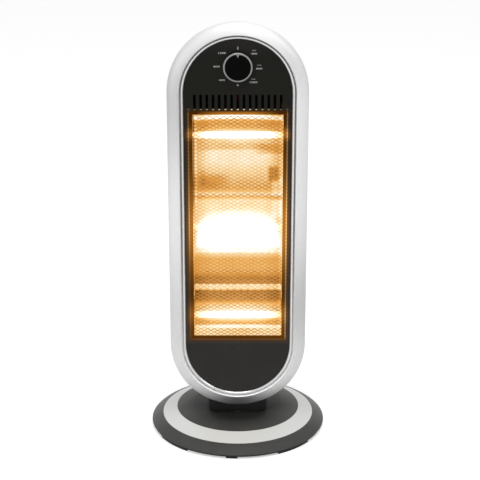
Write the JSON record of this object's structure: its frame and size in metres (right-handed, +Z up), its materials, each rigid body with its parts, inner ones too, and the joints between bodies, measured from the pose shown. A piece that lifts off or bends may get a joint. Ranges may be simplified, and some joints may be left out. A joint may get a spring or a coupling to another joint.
{
  "type": "halogen heater",
  "caption": "Tall round-ended halogen heater with quartz lamps and reflector behind an expanded-metal guard, rotary switch, and a swinging neck on a round base.",
  "frame": {"origin": "on the swivel axis at the floor, at the centre of the round base", "axes": "+Z up along the swivel axis, the front faces -Y, +X to the right in the front view"},
  "size_m": [0.275, 0.275, 0.652],
  "materials": {
    "base_plastic": "fine-grained dark grey moulded plastic",
    "silver_paint": "silver metallic paint on moulded plastic",
    "dark_plastic": "black moulded plastic",
    "rubber": "black rubber",
    "zinc_screw": "zinc-plated steel",
    "black_screw": "blackened steel",
    "motor_steel": "plated steel can",
    "ivory_plastic": "ivory moulded plastic",
    "spring_steel": "spring wire",
    "nylon": "natural nylon",
    "plunger_red": "red moulded plastic",
    "steel": "zinc-plated sheet and tube",
    "trim_silver": "bright silver plating on plastic",
    "panel_black": "black satin plastic",
    "guard_steel": "plated expanded steel, lit by the lamps",
    "bright_reflector": "polished aluminium sheet",
    "bracket_steel": "galvanised sheet",
    "quartz": "clear quartz tube",
    "filament": "glowing tungsten coil",
    "ceramic": "white steatite ceramic",
    "wire_sleeve": "silicone-sleeved wires",
    "knob_black": "black moulded plastic",
    "knob_grey": "grey painted plastic"
  },
  "bodies": {
    "base": {"base_cover": "base_plastic", "base_ring": "silver_paint", "base_plate": "dark_plastic", "foot_pads": "rubber", "cord_gland": "rubber", "base_screws": "zinc_screw", "oscillation_motor": "motor_steel", "motor_screws": "zinc_screw", "terminal_block": "ivory_plastic", "tip_switch_body": "dark_plastic", "tip_switch_spring": "spring_steel", "bearing_ring": "nylon", "lower_washer": "nylon"},
    "head": {"neck": "dark_plastic", "neck_screws": "zinc_screw", "swivel_tube": "steel", "swivel_plate": "steel", "front_frame": "silver_paint", "trim_ring": "trim_silver", "front_panel": "panel_black", "panel_screws": "zinc_screw", "guard_frame": "guard_steel", "guard_mesh": "guard_steel", "reflector": "bright_reflector", "reflector_screws": "zinc_screw", "lamp_bracket_left": "bracket_steel", "lamp_bracket_right": "bracket_steel", "quartz_tube_1": "quartz", "quartz_tube_2": "quartz", "quartz_tube_3": "quartz", "filament_1": "filament", "filament_2": "filament", "filament_3": "filament", "lamp_caps": "ceramic", "heat_shield": "bracket_steel", "thermal_cutout": "ceramic", "rear_shell": "dark_plastic", "rear_screws": "black_screw", "rotary_switch": "ivory_plastic", "switch_nut": "steel", "wiring_loom": "wire_sleeve"},
    "knob": {"knob_cap": "knob_black", "knob_ring": "knob_grey", "knob_pointer": "knob_grey", "switch_shaft": "steel"},
    "crank": {"crank_arm": "steel", "motor_shaft": "steel"},
    "tip_plunger": {"tip_plunger": "plunger_red"}
  },
  "joints": [
    {"name": "swivel", "type": "hinge", "parent": "base", "child": "head", "pos_m": [0, 0, 0.03], "axis": [0, 0, 1], "range_deg": [-35, 35]},
    {"name": "crank_turn", "type": "hinge", "parent": "base", "child": "crank", "pos_m": [0.044, 0, 0.021], "axis": [0, 0, 1], "range_deg": [-55, 55]},
    {"name": "knob_turn", "type": "hinge", "parent": "head", "child": "knob", "pos_m": [0, -0.04, 0.5871], "axis": [0, -1, 0], "continuous": true},
    {"name": "tip_plunger_slide", "type": "slide", "parent": "base", "child": "tip_plunger", "axis": [0, 0, -1], "range_m": [0, 0.006], "stiffness_N_per_m": 100, "springref_m": 0.008, "deforming": ["tip_switch_spring"]}
  ],
  "couplings": [
    {"joint": "crank_turn", "follows": "swivel", "ratio": -1.5714}
  ]
}
